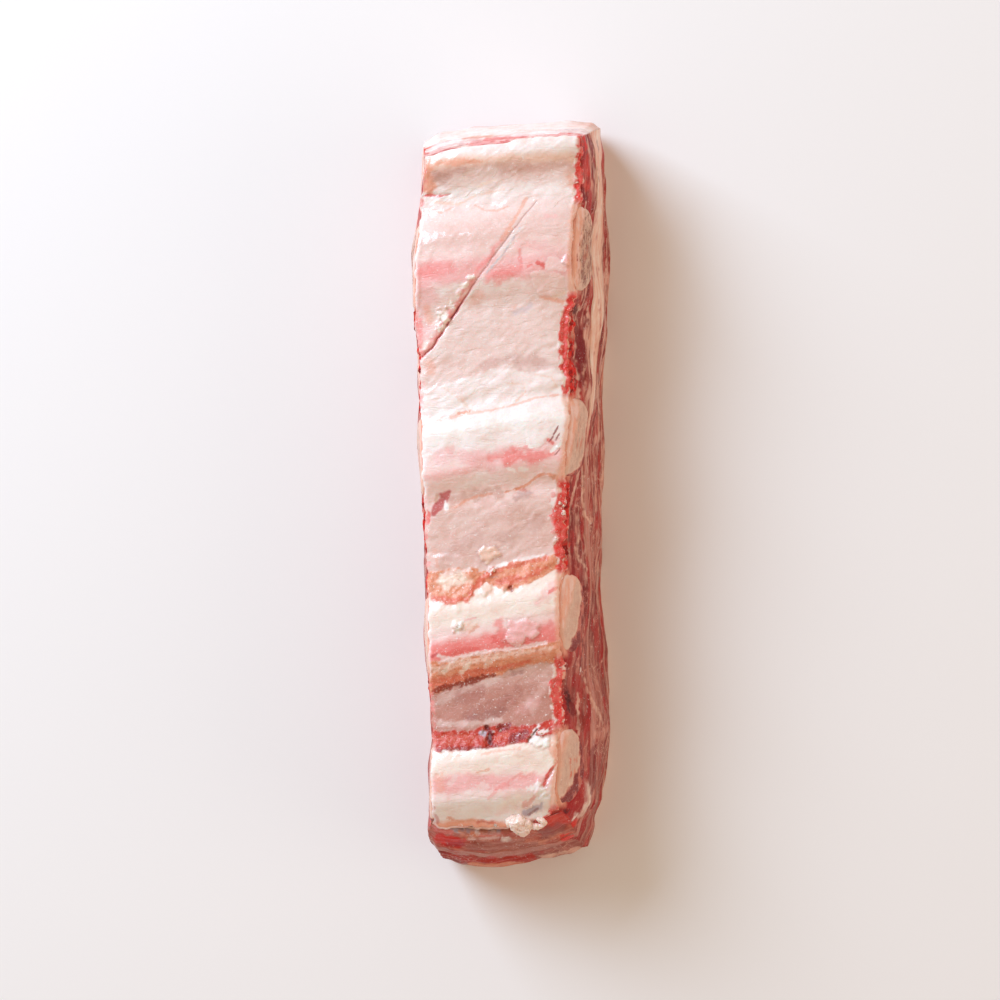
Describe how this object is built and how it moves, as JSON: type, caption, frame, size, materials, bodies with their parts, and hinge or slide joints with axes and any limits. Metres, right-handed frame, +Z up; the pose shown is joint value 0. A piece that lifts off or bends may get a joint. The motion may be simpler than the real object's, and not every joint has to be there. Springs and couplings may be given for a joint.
{
  "type": "raw beef short ribs",
  "caption": "Long strip of raw bone-in beef short ribs lying bone side up, sawn across the ribs, with membrane, meat and fat layers.",
  "frame": {"origin": "on the resting face, under the middle of the strip's bounding box", "axes": "+X across the strip along the rib bones, +Y along the strip towards its far end, +Z up through the bone side"},
  "size_m": [0.069, 0.2638, 0.0508],
  "materials": {
    "membrane": "moist translucent pleura over pink meat and cream fat",
    "rib_meat": "moist raw red meat",
    "bone": "sawn cream bone with fine pores",
    "fat": "waxy cream fat",
    "outer_meat": "moist marbled meat"
  },
  "bodies": {
    "root": {"membrane": "membrane", "rib_meat": "rib_meat", "rib_bone_1": "bone", "rib_bone_2": "bone", "rib_bone_3": "bone", "rib_bone_4": "bone", "fat_seam": "fat", "outer_meat": "outer_meat", "fat_cap": "fat"}
  },
  "joints": []
}
